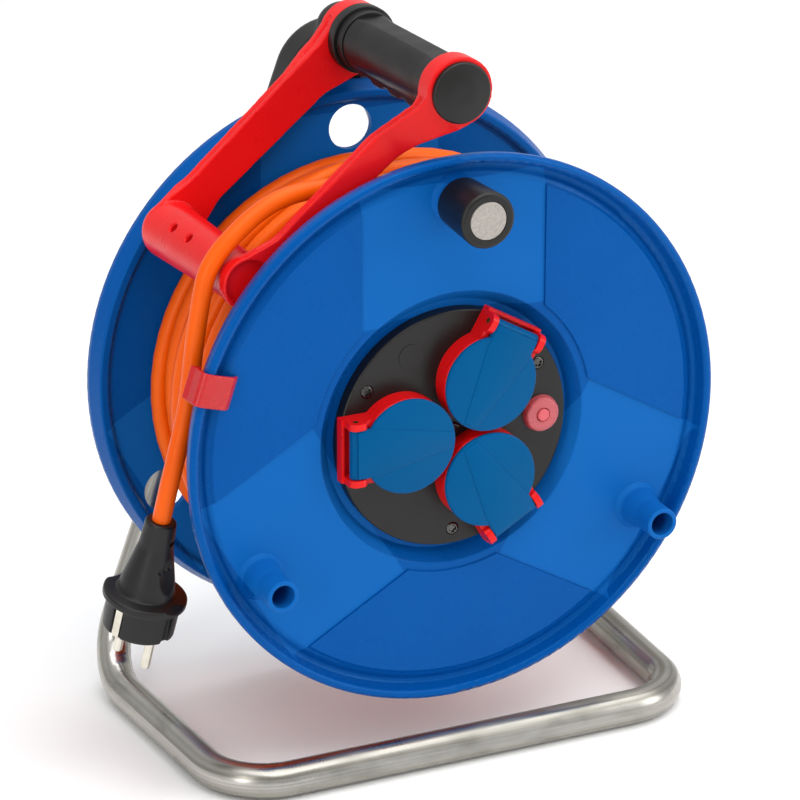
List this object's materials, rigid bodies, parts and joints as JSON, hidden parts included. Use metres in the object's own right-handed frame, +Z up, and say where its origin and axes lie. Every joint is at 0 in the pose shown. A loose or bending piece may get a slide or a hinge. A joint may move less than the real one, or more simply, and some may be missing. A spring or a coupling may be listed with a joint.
{
  "type": "cable reel",
  "caption": "Extension cord reel: plastic drum of orange cord with lidded sockets in its front, crank knob, cable guide and grip on a bent steel tube stand.",
  "frame": {"origin": "on the floor below the middle of the reel, midway between the knob's end and the back of the handle housing", "axes": "+Z up, +Y from the socket face to the rear, +X to the right as seen from the front; the drum turns about Y"},
  "size_m": [0.3236, 0.1934, 0.372],
  "materials": {
    "drum_blue": "satin moulded plastic",
    "lid_blue": "fine-grained moulded plastic",
    "signal_red": "smooth moulded plastic",
    "black_plastic": "fine-grained moulded plastic",
    "grey_plastic": "plain moulded plastic",
    "black_rubber": "soft matt rubber",
    "cord_orange": "smooth flexible sheath",
    "zinc_steel": "zinc-plated steel tube",
    "bright_steel": "plated steel",
    "silver_disc": "satin disc",
    "plated_brass": "nickel-plated brass",
    "brass": "bright brass",
    "cover_pink": "translucent soft plastic",
    "button_red": "smooth moulded plastic"
  },
  "bodies": {
    "stand": {"stand_tube": "zinc_steel", "axle_bracket": "black_plastic", "leg_clamps": "black_plastic", "bracket_screws": "bright_steel", "axle": "bright_steel", "axle_insert": "grey_plastic", "axle_washer": "bright_steel", "axle_bolt": "bright_steel", "handle_housing": "black_plastic", "housing_screws": "bright_steel", "handle_core": "bright_steel", "grip": "black_rubber", "grip_collar": "black_rubber", "end_cap": "black_plastic", "cable_guide": "signal_red", "cord_free": "cord_orange", "plug_body": "black_rubber", "plug_pins": "plated_brass", "plug_earth_strips": "plated_brass"},
    "drum": {"front_flange": "drum_blue", "drum_barrel": "drum_blue", "rear_flange": "drum_blue", "drum_screws": "bright_steel", "socket_plate": "black_plastic", "plate_screws": "bright_steel", "socket_carrier": "grey_plastic", "socket_housing_a": "signal_red", "socket_housing_b": "signal_red", "socket_housing_c": "signal_red", "earth_clips": "brass", "contact_bushes": "brass", "hinge_pins": "bright_steel", "lid_springs": "bright_steel", "breaker_body": "black_plastic", "button_cover": "cover_pink", "knob_spindle": "grey_plastic", "winding_core": "cord_orange", "winding": "cord_orange", "cable_clip": "signal_red", "cord_gland": "grey_plastic", "cord_inner_end": "cord_orange"},
    "knob": {"crank_knob": "black_plastic", "knob_disc": "silver_disc"},
    "lid_left": {"lid_a": "lid_blue"},
    "lid_upper": {"lid_b": "lid_blue"},
    "lid_lower": {"lid_c": "lid_blue"},
    "reset": {"reset_button": "button_red"}
  },
  "joints": [
    {"name": "drum_spin", "type": "hinge", "parent": "stand", "child": "drum", "pos_m": [0, 0.035, 0.1765], "axis": [0, 1, 0], "continuous": true},
    {"name": "knob_spin", "type": "hinge", "parent": "drum", "child": "knob", "pos_m": [0, -0.08, 0.2985], "axis": [0, 1, 0], "continuous": true},
    {"name": "lid_left_hinge", "type": "hinge", "parent": "drum", "child": "lid_left", "pos_m": [-0.058, -0.0686, 0.1765], "axis": [0, 0, -1], "range_deg": [0, 110], "stiffness_Nm_per_rad": 0.02, "springref_deg": -28.65},
    {"name": "lid_upper_hinge", "type": "hinge", "parent": "drum", "child": "lid_upper", "pos_m": [0.029, -0.0686, 0.22673], "axis": [-0.866, 0, 0.5], "range_deg": [0, 110], "stiffness_Nm_per_rad": 0.02, "springref_deg": -28.65},
    {"name": "lid_lower_hinge", "type": "hinge", "parent": "drum", "child": "lid_lower", "pos_m": [0.029, -0.0686, 0.12627], "axis": [0.866, 0, 0.5], "range_deg": [0, 110], "stiffness_Nm_per_rad": 0.02, "springref_deg": -28.65},
    {"name": "reset_press", "type": "slide", "parent": "drum", "child": "reset", "axis": [0, 1, 0], "range_m": [0, 0.002], "stiffness_N_per_m": 200}
  ]
}
